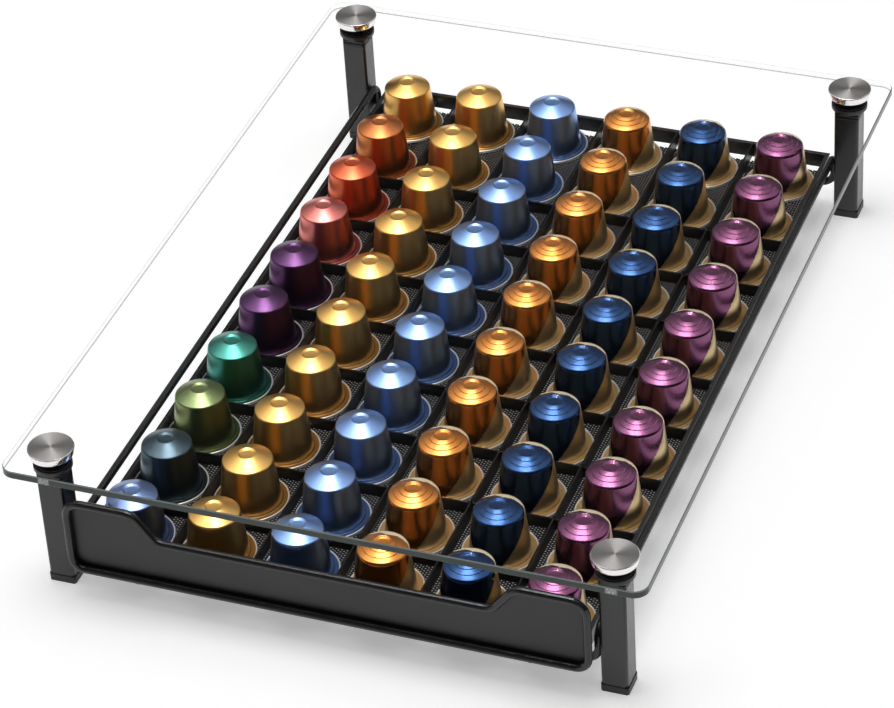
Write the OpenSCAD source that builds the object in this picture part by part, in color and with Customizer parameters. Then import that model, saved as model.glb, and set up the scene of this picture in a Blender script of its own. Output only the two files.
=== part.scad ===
// Coffee pod drawer: a glass-topped stand on four square posts, with a shallow
// steel tray that slides forward on two glide wires and holds 60 coffee pods in
// a grid of cells. Millimetres. X is left to right, -Y is the front (the tray
// opens towards -Y) and Z is up. The origin is on the table, under the middle.

/* [Cells] */
// Number of cells across the tray
cols = 6; // [2:1:8]
// Number of cells from front to back
rows = 10; // [3:1:12]
// Room between the rims of two pods side by side, each in the middle of its cell
pod_gap_x = 4.4; // [3.4:0.1:9]
// Room between the rims of two pods one behind the other
pod_gap_y = 3.9; // [3.4:0.1:9]
// Thickness of a divider strip
divider_t = 1.0; // [0.6:0.1:1.4]
// Height of the dividers and the tray walls above the floor
divider_h = 7.4; // [5:0.1:14]
// Play between two divider strips where their slots cross
slot_play = 0.1; // [0.05:0.05:0.3]

/* [Tray] */
// Thickness of the tray's side and back strips
wall_t = 0.8; // [0.6:0.1:1.5]
// Width of the hem folded in along the top of the walls
hem_w = 1.4; // [1:0.1:2]
// Thickness of the folded hem
hem_t = 0.9; // [0.5:0.1:1.5]
// Thickness of the floor sheet
floor_t = 0.8; // [0.6:0.1:1.5]
// Open slot between the floor and the back wall
back_slot = 4.6; // [2:0.1:8]
// Number of slots through the floor in each cell
floor_slots = 5; // [2:1:5]
// Width of one floor slot
floor_slot_w = 4.2; // [2:0.1:5]
// Solid margin of the floor around the slots of a cell
floor_margin = 2.6; // [2:0.1:5]

/* [Front panel] */
// Diameter of the wire around the front panel
rim_d = 4.0; // [3:0.1:5]
// Thickness of the front panel's sheet
panel_t = 0.8; // [0.6:0.1:1.5]
// Play between the panel's wire and the posts on each side
panel_play = 1.5; // [1:0.1:4]
// Height of the panel's lowest point above the table
panel_z = 14.0; // [13:0.5:16]
// Height of the panel at its two raised ends
panel_h = 43.2; // [38:0.1:48]
// Depth of the dip in the panel's upper edge
dip_depth = 14.3; // [10:0.1:18]
// Length of each raised end, measured to the middle of the slope
shoulder_l = 41.5; // [30:0.5:60]
// Slope of the two ends of the dip
dip_slope = 52; // [35:1:60]
// Radius of the panel's upper corners, on the wire's centre line
panel_top_r = 8.0; // [4:0.5:10]
// Radius of the panel's lower corners, on the wire's centre line
panel_low_r = 6.5; // [4:0.5:10]
// Radius of the bends at the dip's slopes, on the wire's centre line
dip_r = 8.0; // [4:0.5:9]
// Distance from the front posts' faces forward to the back of the panel's sheet
panel_gap = 3.0; // [2.5:0.1:6]

/* [Wire frame] */
// Diameter of the side rails and cross wires
wire_d = 4.0; // [3:0.1:5]
// Play between the tray's walls and the side rails
rail_play = 2.0; // [0.8:0.1:4]
// Height of the side rails' centre line above the table
rail_z = 32.3; // [30:0.1:36]
// Height of the cross wires' centre line above the table
cross_z = 14.0; // [8:0.5:15]
// Bend radius of the frame wires, on the centre line
wire_bend = 7.0; // [5:0.5:8]
// Distance from the middle of a post out to the frame wires' legs
leg_out = 2.0; // [0:0.1:3]
// Diameter of the two glide wires that carry the tray
glide_d = 3.5; // [3:0.1:4]
// Distance from the side rails in to the glide wires
glide_in = 31.5; // [15:0.5:60]
// How far the glide wires' turned ends reach below the cross wires
glide_hook = 3.5; // [1:0.5:5]
// Running gap between the glide wires and the tray's floor
run_gap = 0.3; // [0.2:0.1:0.6]

/* [Posts] */
// Width of a square post
post_w = 13.0; // [12:0.5:20]
// Wall of a post's tube
post_t = 1.2; // [1:0.1:2]
// Radius of a post's upright edges
post_r = 1.4; // [1:0.1:2]
// Radius of the corners inside a post's tube
tube_r = 1.0; // [0.5:0.1:1.5]
// Height of a foot below the post
foot_h = 3.8; // [2:0.1:6]
// How much wider than the post a foot is, on each side
foot_lip = 0.3; // [0:0.1:1]
// Length of the feet's and plugs' pegs inside the tubes
peg_l = 9.0; // [6:0.5:12]
// Play of a peg inside its tube, on each side
peg_play = 0.1; // [0.05:0.05:0.3]
// Height of the plug's grooved neck above the tube
neck_h = 4.8; // [4:0.1:8]
// Depth and height of the two grooves around the neck
groove = 0.7; // [0.4:0.1:1]
// Diameter of the plug's round flange under the glass
flange_d = 18.6; // [16:0.2:24]
// Thickness of the plug's flange
flange_t = 2.2; // [1:0.1:3]

/* [Glass top] */
// Height of the glass's underside above the table
deck_z = 68.0; // [62:0.5:90]
// Thickness of the glass
glass_t = 4.0; // [3:0.5:8]
// Radius of the glass's corners
glass_r = 7.0; // [5:0.5:25]
// Overhang of the glass beyond the posts' centres, left and right
over_x = 19.5; // [17:0.5:30]
// Overhang of the glass beyond the posts' centres, front and back
over_y = 18.0; // [17:0.5:30]
// Bevel along the glass's edges
glass_bevel = 0.5; // [0.2:0.1:1]
// Thickness of the washers above and below the glass
washer_t = 0.6; // [0.4:0.1:1.5]
// Diameter of the washers
washer_d = 17.0; // [12:0.5:19]
// Diameter of the steel caps at the top
cap_d = 22.3; // [20:0.1:30]
// Diameter of the steel caps where they stand on the washers
cap_low_d = 21.2; // [17:0.1:22]
// Height of the steel caps
cap_h = 3.9; // [3:0.1:8]
// Chamfer around the top of a cap
cap_chamfer = 0.4; // [0.2:0.1:0.8]
// Diameter of the threaded studs
stud_d = 6.0; // [4:0.5:8]
// How deep a stud goes into its cap
stud_in_cap = 2.2; // [1.5:0.1:2.6]
// How deep a stud goes into its plug, below the flange
stud_in_plug = 11.0; // [6:0.5:13]
// Play of a stud in its threads, on each side
thread_play = 0.05; // [0.02:0.01:0.1]
// Play of a stud in the glass's hole, on each side
hole_play = 1.0; // [0.5:0.1:1.5]

/* [Coffee pods] */
// Diameter of a pod's rim
pod_rim_d = 37.0; // [32:0.1:42]
// Thickness of a pod's rim
pod_rim_t = 0.8; // [0.4:0.1:1.2]
// Diameter of a pod's body just above the rim
pod_body_d = 29.8; // [28:0.1:31]
// Width and height of the slope between a pod's body and its rim
pod_foot = 0.8; // [0.2:0.1:1.2]
// Diameter of a pod's shoulder
pod_shoulder_d = 24.4; // [22:0.1:26]
// Height of the shoulder above the tray's floor
pod_shoulder_h = 24.6; // [23:0.1:25.5]
// Width and height of the bevel around the shoulder
pod_bevel = 0.5; // [0.2:0.1:0.8]
// Height of a pod, foil included
pod_h = 28.0; // [27:0.1:30]
// Diameter of the dimple in a pod's top
pod_dimple_d = 8.8; // [7:0.1:11]
// Depth of the dimple
pod_dimple_h = 0.9; // [0.5:0.1:1.2]
// Height of the two ring steps on the tops of the two-tone pods
pod_ring = 0.4; // [0.2:0.1:0.5]
// Thickness of a pod's shell
pod_wall = 0.5; // [0.3:0.1:0.6]
// Thickness of the foil that closes a pod
foil_t = 0.2; // [0.2:0.1:0.4]
// Least clearance of a pod's rim beside the dividers
pod_clear = 0.1; // [0.1:0.1:1]

/* [Hidden] */
$fn = 48;

// Tray, from the pods and their cells
cell_w = pod_rim_d + pod_gap_x;
cell_d = pod_rim_d + pod_gap_y;
tray_w = cols * cell_w;
tray_d = rows * cell_d;
tray_out_x = tray_w / 2 + wall_t;
floor_z = cross_z + wire_d / 2 + glide_d + run_gap;
pod_z = floor_z + floor_t;
wall_top = pod_z + divider_h;
slot_w = divider_t + 2 * slot_play;
slot_z = pod_z + divider_h / 2;

// Posts and frame, from the tray
wire_x = tray_out_x + rail_play + wire_d / 2;
post_x = wire_x + wire_d / 2 + post_w / 2;
post_y = (tray_d - panel_gap - post_w) / 2;
wire_y = post_y + leg_out;
wire_joint_z = (rail_z + cross_z) / 2;
glide_x = wire_x - glide_in;
tray_front = -(post_y + post_w / 2 + panel_gap);
tray_back = tray_front + tray_d;

// Heights of the glass joint
flange_top = deck_z - washer_t;
tube_top = flange_top - flange_t - neck_h;
glass_top_z = deck_z + glass_t;
cap_z = glass_top_z + washer_t;
glass_w = 2 * (post_x + over_x);
glass_d = 2 * (post_y + over_y);

// Front panel, on the centre line of its wire
panel_x = post_x - post_w / 2 - panel_play - rim_d / 2;
rim_y = tray_front - panel_t - rim_d / 2;
rim_low = panel_z + rim_d / 2;
rim_high = panel_z + panel_h - rim_d / 2;
rim_dip = rim_high - dip_depth;
slope_x = panel_x + rim_d / 2 - shoulder_l;
slope_run = dip_depth / tan(dip_slope) / 2;
panel_path = [
    [-panel_x, rim_low, panel_low_r], [panel_x, rim_low, panel_low_r],
    [panel_x, rim_high, panel_top_r], [slope_x + slope_run, rim_high, dip_r],
    [slope_x - slope_run, rim_dip, dip_r], [-slope_x + slope_run, rim_dip, dip_r],
    [-slope_x - slope_run, rim_high, dip_r], [-panel_x, rim_high, panel_top_r]];

// How far the pods stand from the middles of their cells
drift_x = (pod_gap_x - divider_t) / 2 - pod_clear;
drift_y = (pod_gap_y - divider_t) / 2 - pod_clear;

// Colours of the pods: gold, blue, the single pods of the left column, and the
// three two-tone kinds; then the kind in each cell of the left column from the
// front, and the kind that fills each further column
POD_COLOURS = ["gold", "royalblue", "slateblue", "darkslategray", "olivedrab",
    "seagreen", "indigo", "palevioletred", "firebrick", "chocolate",
    "darkorange", "midnightblue", "purple"];
LEFT_COLUMN = [2, 3, 4, 5, 6, 6, 7, 8, 9, 0];
COLUMN_KIND = [0, 0, 1, 10, 11, 12];
TWO_TONE = 10;

// ---- paths ------------------------------------------------------------

function heading(a, b) = atan2(b[1] - a[1], b[0] - a[0]);
function turn_at(a, b, c) = let (t = heading(b, c) - heading(a, b))
    t > 180 ? t - 360 : t < -180 ? t + 360 : t;
function along(a, angle, l) = [a[0] + l * cos(angle), a[1] + l * sin(angle)];
function point_before(path, i) = path[(i + len(path) - 1) % len(path)];
function point_after(path, i) = path[(i + 1) % len(path)];
function bend_turn(path, i, closed = false) = closed || (i > 0 && i < len(path) - 1)
    ? turn_at(point_before(path, i), path[i], point_after(path, i)) : 0;
function tangent_l(path, i, closed = false) =
    path[i][2] * tan(abs(bend_turn(path, i, closed)) / 2);

// Round wire of diameter d along [x, y, bend radius] points in the XY plane
module wire(path, d) {
    for (i = [0:len(path) - 2]) {
        a = path[i];
        b = path[i + 1];
        h = heading(a, b);
        start = along(a, h, tangent_l(path, i));
        l = norm([b[0] - a[0], b[1] - a[1]]) - tangent_l(path, i) - tangent_l(path, i + 1);
        translate([start[0], start[1], 0]) rotate([0, 90, h]) cylinder(d = d, h = l);
    }
    for (i = [1:len(path) - 2]) {
        turn = bend_turn(path, i);
        h = heading(path[i - 1], path[i]);
        side = turn > 0 ? 90 : -90;
        start = along(path[i], h, -tangent_l(path, i));
        centre = along(start, h + side, path[i][2]);
        translate([centre[0], centre[1], 0])
            rotate([0, 0, turn > 0 ? h - 90 : h + 90 + turn])
            rotate_extrude(angle = abs(turn)) translate([path[i][2], 0]) circle(d = d);
    }
}

// The same path as a closed outline, each bend as a fan of steps. Moved is how
// far the outline lies outside the path, for a path that runs anticlockwise.
function bend_points(path, i, steps, moved) =
    let (turn = bend_turn(path, i, true),
        h = heading(point_before(path, i), path[i]),
        side = turn > 0 ? 90 : -90,
        start = along(path[i], h, -tangent_l(path, i, true)),
        centre = along(start, h + side, path[i][2]),
        r = path[i][2] + sign(turn) * moved)
    [for (k = [0:steps]) along(centre, h - side + turn * k / steps, r)];
function outline(path, steps, moved = 0) =
    [for (i = [0:len(path) - 1]) each bend_points(path, i, steps, moved)];

// Closed round wire along the path, as a mesh with the given number of sides
module wire_loop(path, d, steps, sides) {
    rings = [for (k = [0:sides - 1]) let (a = 360 * (k + 0.5) / sides)
        [outline(path, steps, d / 2 * cos(a)), d / 2 * sin(a)]];
    n = len(rings[0][0]);
    points = [for (ring = rings) for (p = ring[0]) [p[0], p[1], ring[1]]];
    faces = [for (k = [0:sides - 1], i = [0:n - 1])
        let (j = (i + 1) % n, up = (k + 1) % sides)
        each [[k * n + i, up * n + j, k * n + j], [k * n + i, up * n + i, up * n + j]]];
    polyhedron(points, faces);
}

// ---- general shapes ---------------------------------------------------

// Upright square bar with round edges, centred on Z
module square_bar(w, h, r) {
    linear_extrude(h) difference() {
        square(w, center = true);
        for (sx = [-1, 1], sy = [-1, 1]) difference() {
            translate([sx * w / 2, sy * w / 2]) square(2 * r, center = true);
            translate([sx * (w / 2 - r), sy * (w / 2 - r)]) circle(r);
        }
    }
}

module box(low, high) {
    translate(low) cube(high - low);
}

module at_posts() {
    for (sx = [-1, 1], sy = [-1, 1]) translate([sx * post_x, sy * post_y, 0]) children();
}

// ---- glass joint ------------------------------------------------------

// Plate with round corners, its edges bevelled above and below
module glass_plate() {
    half = [glass_w / 2 - glass_r, glass_d / 2 - glass_r];
    b = glass_bevel;
    translate([0, 0, deck_z]) {
        translate([-half[0], -glass_d / 2 + b, 0]) cube([2 * half[0], glass_d - 2 * b, glass_t]);
        translate([-half[0], -glass_d / 2, b]) cube([2 * half[0], glass_d, glass_t - 2 * b]);
        translate([-glass_w / 2 + b, -half[1], 0]) cube([glass_w - 2 * b, 2 * half[1], glass_t]);
        translate([-glass_w / 2, -half[1], b]) cube([glass_w, 2 * half[1], glass_t - 2 * b]);
        for (sx = [-1, 1], sy = [-1, 1]) translate([sx * half[0], sy * half[1], 0]) {
            cylinder(r = glass_r - b, h = glass_t);
            translate([0, 0, b]) cylinder(r = glass_r, h = glass_t - 2 * b);
        }
    }
}

module glass_top() {
    color("lightcyan", 0.4) difference() {
        glass_plate();
        at_posts() translate([0, 0, deck_z - 1])
            cylinder(d = stud_d + 2 * hole_play, h = glass_t + 2);
    }
}

module cap() {
    r = cap_d / 2;
    c = cap_chamfer;
    bore_r = stud_d / 2 + thread_play;
    color("silver") translate([0, 0, cap_z]) rotate_extrude() polygon([
        [bore_r, 0], [cap_low_d / 2, 0], [r, cap_h - 2 * c], [r, cap_h - c], [r - c, cap_h],
        [0, cap_h], [0, stud_in_cap], [bore_r, stud_in_cap]]);
}

module washer(z) {
    translate([0, 0, z]) difference() {
        cylinder(d = washer_d, h = washer_t);
        translate([0, 0, -1]) cylinder(d = stud_d + 2 * thread_play, h = washer_t + 2);
    }
}

module upper_washers() {
    color("dimgray") at_posts() washer(glass_top_z);
}

module lower_washers() {
    color("dimgray") at_posts() washer(flange_top);
}

module studs() {
    low = flange_top - flange_t - stud_in_plug;
    color("gray") at_posts() translate([0, 0, low])
        cylinder(d = stud_d, h = cap_z + stud_in_cap - low);
}

// Plug in the top of a post: peg, grooved neck and round flange
module plug() {
    peg_w = post_w - 2 * post_t - 2 * peg_play;
    neck_w = post_w - 2 * groove;
    band = (neck_h - 2 * groove) / 3;
    bore_l = stud_in_plug + flange_t;
    color([0.13, 0.13, 0.14]) difference() {
        union() {
            translate([0, 0, tube_top - peg_l]) square_bar(peg_w, peg_l, tube_r);
            for (k = [0:2]) translate([0, 0, tube_top + k * (band + groove)])
                square_bar(post_w, band, post_r);
            translate([0, 0, tube_top]) square_bar(neck_w, neck_h, post_r);
            translate([0, 0, flange_top - flange_t]) cylinder(d = flange_d, h = flange_t);
        }
        translate([0, 0, flange_top - bore_l])
            cylinder(d = stud_d + 2 * thread_play, h = bore_l + 1);
    }
}

module post() {
    color([0.16, 0.16, 0.17]) translate([0, 0, foot_h]) difference() {
        square_bar(post_w, tube_top - foot_h, post_r);
        translate([0, 0, -1]) square_bar(post_w - 2 * post_t, tube_top - foot_h + 2, tube_r);
    }
}

// Foot under a post, with a peg inside the tube
module foot() {
    color([0.1, 0.1, 0.1]) {
        square_bar(post_w + 2 * foot_lip, foot_h, post_r);
        translate([0, 0, foot_h]) square_bar(post_w - 2 * post_t - 2 * peg_play, peg_l, tube_r);
    }
}

// ---- wire frame -------------------------------------------------------

// Side rail along Y, with its ends bent down to the cross wires' legs
module rail(x) {
    color([0.12, 0.12, 0.13]) translate([x, 0, 0]) rotate([90, 0, 90]) wire([
        [-wire_y, wire_joint_z, 0], [-wire_y, rail_z, wire_bend],
        [wire_y, rail_z, wire_bend], [wire_y, wire_joint_z, 0]], wire_d);
}

// Cross wire under the tray, with a leg up each post's inner face
module cross_wire(y) {
    color([0.12, 0.12, 0.13]) translate([0, y, 0]) rotate([90, 0, 0]) wire([
        [-wire_x, wire_joint_z, 0], [-wire_x, cross_z, wire_bend],
        [wire_x, cross_z, wire_bend], [wire_x, wire_joint_z, 0]], wire_d);
}

// Glide wire lying on both cross wires, its ends turned down over them
module glide_wire(x) {
    z = cross_z + wire_d / 2 + glide_d / 2;
    y = wire_y + wire_d / 2 + glide_d / 2;
    low = cross_z - wire_d / 2 - glide_hook;
    color([0.12, 0.12, 0.13]) translate([x, 0, 0]) rotate([90, 0, 90]) wire([
        [-y, low, 0], [-y, z, glide_d / 2 + wire_d / 2],
        [y, z, glide_d / 2 + wire_d / 2], [y, low, 0]], glide_d);
}

// ---- tray -------------------------------------------------------------

module front_panel() {
    color([0.2, 0.2, 0.21]) translate([0, tray_front, 0]) rotate([90, 0, 0])
        linear_extrude(panel_t) polygon(outline(panel_path, 6));
}

module panel_rim_wire() {
    color([0.12, 0.12, 0.13]) translate([0, rim_y, 0]) rotate([90, 0, 0])
        wire_loop(panel_path, rim_d, 6, 16);
}

// Side wall with its hem folded in; side is -1 for left and 1 for right
module side_wall(side) {
    color([0.14, 0.14, 0.15]) mirror([side < 0 ? 1 : 0, 0, 0]) {
        box([tray_w / 2, tray_front, floor_z], [tray_out_x, tray_back, wall_top]);
        box([tray_w / 2 - hem_w, tray_front, wall_top - hem_t],
            [tray_out_x, tray_back, wall_top]);
    }
}

module back_wall() {
    color([0.14, 0.14, 0.15]) {
        box([-tray_out_x, tray_back, floor_z], [tray_out_x, tray_back + wall_t, wall_top]);
        box([-tray_out_x, tray_back, wall_top - hem_t],
            [tray_out_x, tray_back + wall_t + hem_w, wall_top]);
    }
}

function cell_x(c) = (c - (cols - 1) / 2) * cell_w;
function cell_y(r) = tray_front + (r + 0.5) * cell_d;

module floor_grille() {
    slot_l = cell_w - divider_t - 2 * floor_margin;
    pitch = (cell_d - divider_t - 2 * floor_margin - floor_slot_w) / (floor_slots - 1);
    color([0.1, 0.1, 0.1]) translate([0, 0, floor_z]) linear_extrude(floor_t) difference() {
        translate([-tray_w / 2, tray_front]) square([tray_w, tray_d - back_slot]);
        for (c = [0:cols - 1], r = [0:rows - 1], k = [0:floor_slots - 1])
            translate([cell_x(c), cell_y(r) + (k - (floor_slots - 1) / 2) * pitch])
                square([slot_l, floor_slot_w], center = true);
    }
}

// One strip per gap between columns, slotted from above
module column_dividers() {
    color([0.12, 0.12, 0.12]) for (c = [1:cols - 1]) difference() {
        x = cell_x(c) - cell_w / 2;
        box([x - divider_t / 2, tray_front, pod_z], [x + divider_t / 2, tray_back, wall_top]);
        for (r = [1:rows - 2]) {
            y = cell_y(r) - cell_d / 2;
            box([x - divider_t, y - slot_w / 2, slot_z], [x + divider_t, y + slot_w / 2, wall_top + 1]);
        }
    }
}

// One strip per gap between rows, slotted from below; the last two rows share
// one long cell, so there is no strip between them
module row_dividers() {
    reach = tray_w / 2;
    color([0.12, 0.12, 0.12]) for (r = [1:rows - 2]) difference() {
        y = cell_y(r) - cell_d / 2;
        top = wall_top - hem_t;
        box([-reach, y - divider_t / 2, pod_z], [reach, y + divider_t / 2, top]);
        for (c = [1:cols - 1]) {
            x = cell_x(c) - cell_w / 2;
            box([x - slot_w / 2, y - divider_t, pod_z - 1], [x + slot_w / 2, y + divider_t, slot_z]);
        }
    }
}

// ---- coffee pods ------------------------------------------------------

// Outer half section of a pod from its rim up to the shoulder
SIDE = [[pod_rim_d / 2, foil_t], [pod_rim_d / 2, foil_t + pod_rim_t],
    [pod_body_d / 2 + pod_foot, foil_t + pod_rim_t],
    [pod_body_d / 2, foil_t + pod_rim_t + pod_foot],
    [pod_shoulder_d / 2, pod_shoulder_h - pod_bevel],
    [pod_shoulder_d / 2 - pod_bevel, pod_shoulder_h]];

// Outer half section of the dimple, from its edge in to the axis
DIMPLE = [[pod_dimple_d / 2, pod_h],
    [pod_dimple_d / 2 - pod_dimple_h, pod_h - pod_dimple_h], [0, pod_h - pod_dimple_h]];

// Inner half section, from the axis down to the foil
INSIDE = [[0, pod_h - pod_dimple_h - pod_wall],
    [pod_dimple_d / 2, pod_h - pod_dimple_h - pod_wall],
    [pod_shoulder_d / 2 - pod_bevel - pod_wall, pod_shoulder_h - pod_wall],
    [pod_shoulder_d / 2 - pod_wall, pod_shoulder_h - pod_bevel - pod_wall],
    [pod_body_d / 2 - pod_wall, foil_t + pod_rim_t + pod_foot],
    [pod_body_d / 2 - pod_wall, foil_t]];

// Point on the sloping top, from 0 at the shoulder to 1 at the dimple's edge
function on_top(f) = SIDE[5] + f * (DIMPLE[0] - SIDE[5]);

// Shell with a smooth conical top
module plain_pod() {
    rotate_extrude() polygon(concat(SIDE, DIMPLE, INSIDE));
}

// Shell with two ring steps around its conical top
module ringed_pod() {
    riser = [pod_ring / 4, -pod_ring / 2];
    steps = [for (k = [1, 2]) each [on_top(k / 3) + riser, on_top(k / 3) - riser]];
    rotate_extrude() polygon(concat(SIDE, steps, DIMPLE, INSIDE));
}

module at_cell(c, r) {
    x = cell_x(c) + drift_x * sin(36 * c - 9 * r + 290);
    y = cell_y(r) + drift_y * sin(48 * c - 12 * r + 90);
    translate([x, y, pod_z]) children();
}

// Kind of the pod in a cell; further columns repeat the last one
function pod_kind(c, r) = c == 0 ? LEFT_COLUMN[min(r, len(LEFT_COLUMN) - 1)]
    : COLUMN_KIND[min(c, len(COLUMN_KIND) - 1)];

module pods(kind) {
    color(POD_COLOURS[kind]) for (c = [0:cols - 1], r = [0:rows - 1])
        if (pod_kind(c, r) == kind) at_cell(c, r)
            if (kind < TWO_TONE) plain_pod(); else ringed_pod();
}

module pod_foils() {
    color("whitesmoke") for (c = [0:cols - 1], r = [0:rows - 1])
        at_cell(c, r) cylinder(d = pod_rim_d, h = foil_t);
}

module at_post(sx, sy) {
    translate([sx * post_x, sy * post_y, 0]) children();
}

// ---- nodes ------------------------------------------------------------

glass_top();
at_post(-1, -1) cap();  // front_left_cap
at_post(1, -1) cap();  // front_right_cap
at_post(-1, 1) cap();  // back_left_cap
at_post(1, 1) cap();  // back_right_cap
upper_washers();
lower_washers();
studs();
at_post(-1, -1) plug();  // front_left_plug
at_post(1, -1) plug();  // front_right_plug
at_post(-1, 1) plug();  // back_left_plug
at_post(1, 1) plug();  // back_right_plug
at_post(-1, -1) post();  // front_left_post
at_post(1, -1) post();  // front_right_post
at_post(-1, 1) post();  // back_left_post
at_post(1, 1) post();  // back_right_post
at_post(-1, -1) foot();  // front_left_foot
at_post(1, -1) foot();  // front_right_foot
at_post(-1, 1) foot();  // back_left_foot
at_post(1, 1) foot();  // back_right_foot
rail(-wire_x);  // left_rail
rail(wire_x);  // right_rail
cross_wire(-wire_y);  // front_cross_wire
cross_wire(wire_y);  // back_cross_wire
glide_wire(-glide_x);  // left_glide_wire
glide_wire(glide_x);  // right_glide_wire
front_panel();
panel_rim_wire();
side_wall(-1);  // left_wall
side_wall(1);  // right_wall
back_wall();
floor_grille();
column_dividers();
row_dividers();
pods(0);  // gold_pods
pods(1);  // blue_pods
pods(2);  // indigo_pod
pods(3);  // slate_pod
pods(4);  // olive_pod
pods(5);  // green_pod
pods(6);  // violet_pods
pods(7);  // pink_pod
pods(8);  // red_pod
pods(9);  // copper_pod
pods(10);  // orange_gold_pods
pods(11);  // navy_gold_pods
pods(12);  // purple_gold_pods
pod_foils();
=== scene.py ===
# A drawer for coffee pods: a clear glass top on four square posts, over a black
# steel tray that slides forward on two wires and holds sixty pods in its cells.
# The file follows the order in which the real one is put together.

import math

import bmesh
import bpy
from mathutils import Matrix, Vector


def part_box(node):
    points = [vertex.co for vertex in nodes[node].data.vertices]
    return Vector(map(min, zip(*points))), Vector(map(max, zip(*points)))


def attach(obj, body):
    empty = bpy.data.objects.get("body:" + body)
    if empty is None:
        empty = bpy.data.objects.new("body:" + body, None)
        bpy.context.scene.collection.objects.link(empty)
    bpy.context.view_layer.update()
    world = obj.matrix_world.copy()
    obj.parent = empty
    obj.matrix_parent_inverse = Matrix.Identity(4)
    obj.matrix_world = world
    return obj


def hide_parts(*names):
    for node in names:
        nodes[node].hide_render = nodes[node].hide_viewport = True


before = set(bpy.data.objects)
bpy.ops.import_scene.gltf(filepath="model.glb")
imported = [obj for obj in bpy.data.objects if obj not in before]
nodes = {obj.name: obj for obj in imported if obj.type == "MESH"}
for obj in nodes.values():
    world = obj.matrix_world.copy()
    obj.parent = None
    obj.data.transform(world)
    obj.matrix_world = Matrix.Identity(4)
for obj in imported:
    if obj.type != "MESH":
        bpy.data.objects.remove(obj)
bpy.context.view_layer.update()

# ---- Camera -----------------------------------------------------------------
# A long lens from the front right and above, not quite two metres away, held
# slightly out of level as in the photograph.

LENS_MM = 153.25
SENSOR_MM = 36
CAMERA_PLACE = (0.565365, -1.420090, 1.151953)
TURN = math.radians(-22.29)
DOWN = math.radians(36.56)
LEAN = math.radians(-3.75)

forward = Vector((math.sin(TURN) * math.cos(DOWN), math.cos(TURN) * math.cos(DOWN), -math.sin(DOWN)))
level = Vector((math.cos(TURN), -math.sin(TURN), 0))
upright = level.cross(forward)
right = level * math.cos(LEAN) + upright * math.sin(LEAN)
top = upright * math.cos(LEAN) - level * math.sin(LEAN)
lens = bpy.data.cameras.new("camera")
lens.sensor_width = SENSOR_MM
lens.lens = LENS_MM
camera = bpy.data.objects.new("camera", lens)
aim = Matrix((right, top, -forward)).transposed().to_4x4()
camera.matrix_world = Matrix.Translation(CAMERA_PLACE) @ aim
bpy.context.scene.collection.objects.link(camera)
bpy.context.scene.camera = camera

# ---- Table and studio light ---------------------------------------------------
# A white table top under one soft box that hangs over the drawer. The room around
# them is pale above and dim below. It glows overhead, is nearly dark on the
# camera's side, and is half as bright in a patch high on its far side.

TABLE_REACH = 8.0
TABLE_WHITE, TABLE_PALE = (0.80, 0.80, 0.80, 1), (0.83, 0.83, 0.83, 1)
TABLE_LIFT = 0.38                    # light that only background rays see
BOX_HEIGHT = 1.45
BOX_WIDTH, BOX_DEPTH = 0.53, 0.70
BOX_ASIDE = -0.08                    # to the camera's left
BOX_WATTS = 5.9
ROOM = 0.77
ROOM_BELOW, ROOM_ABOVE = (0.22, 0.22, 0.22, 1), (1.0, 1.0, 1.0, 1)
BELOW_TO, ABOVE_FROM = 0.25, 0.70    # heights, as the sine of the angle above level
camera_side = -Vector((forward.x, forward.y, 0)).normalized()
overhead = Vector((0, 0, 0.97)) - level * 0.26
far_side = Vector((0, 0, 0.60)) - camera_side * 0.79 + level * 0.13
# Patches of the room: the direction, the cosines of the angles from it at which the
# patch starts and is full, and how many times as bright the room is there
ROOM_PATCHES = ((overhead, 0.80, 1.0, 2.6), (camera_side, 0.0, 0.35, 0.10),
                (far_side, 0.82, 0.96, 0.52))


def add(tree, kind, inputs=None, **settings):
    """A new shader node; a socket given as an input is linked, a value is set."""
    made = tree.nodes.new("ShaderNode" + kind)
    for key, value in settings.items():
        setattr(made, key, value)
    for key, value in (inputs or {}).items():
        if isinstance(value, bpy.types.NodeSocket):
            tree.links.new(value, made.inputs[key])
        else:
            made.inputs[key].default_value = value
    return made


def blank_material(name):
    """A material with an output and nothing else."""
    material = bpy.data.materials.new(name)
    material.use_nodes = True
    material.node_tree.nodes.clear()
    return material, material.node_tree, add(material.node_tree, "OutputMaterial")


def background_ray(tree):
    """1 for the rays that show the background: camera, mirror and glass rays."""
    path = add(tree, "LightPath")
    seen = add(tree, "Math", {0: path.outputs["Is Camera Ray"], 1: path.outputs["Is Glossy Ray"]},
               operation="ADD")
    return add(tree, "Math", {0: seen.outputs[0], 1: path.outputs["Is Transmission Ray"]},
               operation="ADD", use_clamp=True).outputs[0]


table_white, tree, out = blank_material("table_white")
grain = add(tree, "TexNoise", {"Scale": 900, "Detail": 3})
tone = add(tree, "MixRGB", {0: grain.outputs["Fac"], 1: TABLE_WHITE, 2: TABLE_PALE})
matt = add(tree, "BsdfPrincipled", {"Base Color": tone.outputs[0], "Roughness": 0.6,
                                    "Specular IOR Level": 0.15})
lift = add(tree, "Emission", {"Color": (1, 1, 1, 1), "Strength": TABLE_LIFT})
dark = add(tree, "Emission", {"Strength": 0.0})
shown = add(tree, "MixShader", {0: background_ray(tree), 1: dark.outputs[0], 2: lift.outputs[0]})
table = add(tree, "AddShader", {0: matt.outputs[0], 1: shown.outputs[0]})
tree.links.new(table.outputs[0], out.inputs["Surface"])

mesh = bpy.data.meshes.new("table")
corners = [(x * TABLE_REACH, y * TABLE_REACH, 0) for x, y in ((-1, -1), (1, -1), (1, 1), (-1, 1))]
mesh.from_pydata(corners, [], [(0, 1, 2, 3)])
mesh.materials.append(table_white)
table_top = bpy.data.objects.new("table", mesh)
bpy.context.scene.collection.objects.link(table_top)

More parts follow.
